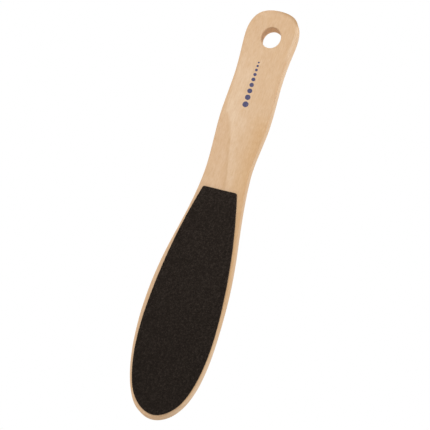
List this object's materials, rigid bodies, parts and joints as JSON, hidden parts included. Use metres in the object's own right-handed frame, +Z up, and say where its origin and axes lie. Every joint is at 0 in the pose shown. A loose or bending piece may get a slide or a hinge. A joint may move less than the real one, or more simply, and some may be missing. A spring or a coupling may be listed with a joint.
{
  "type": "foot file",
  "caption": "Flat wooden paddle with a hang hole in its handle and a black abrasive sheet glued to each face of its blade, coarse on the front and fine on the back.",
  "frame": {"origin": "centre of the hang hole, half way through the wood", "axes": "+Z up the handle to its butt, +X to the right as the coarse face is seen, -Y out of the coarse face"},
  "size_m": [0.0459, 0.0106, 0.25],
  "materials": {
    "wood": "matte",
    "adhesive_film": "satin",
    "sheet_backing": "matte",
    "coarse_grit": "matte",
    "fine_grit": "matte"
  },
  "bodies": {
    "root": {"paddle": "wood", "front_adhesive": "adhesive_film", "front_backing": "sheet_backing", "front_grit": "coarse_grit", "back_adhesive": "adhesive_film", "back_backing": "sheet_backing", "back_grit": "fine_grit"}
  },
  "joints": []
}
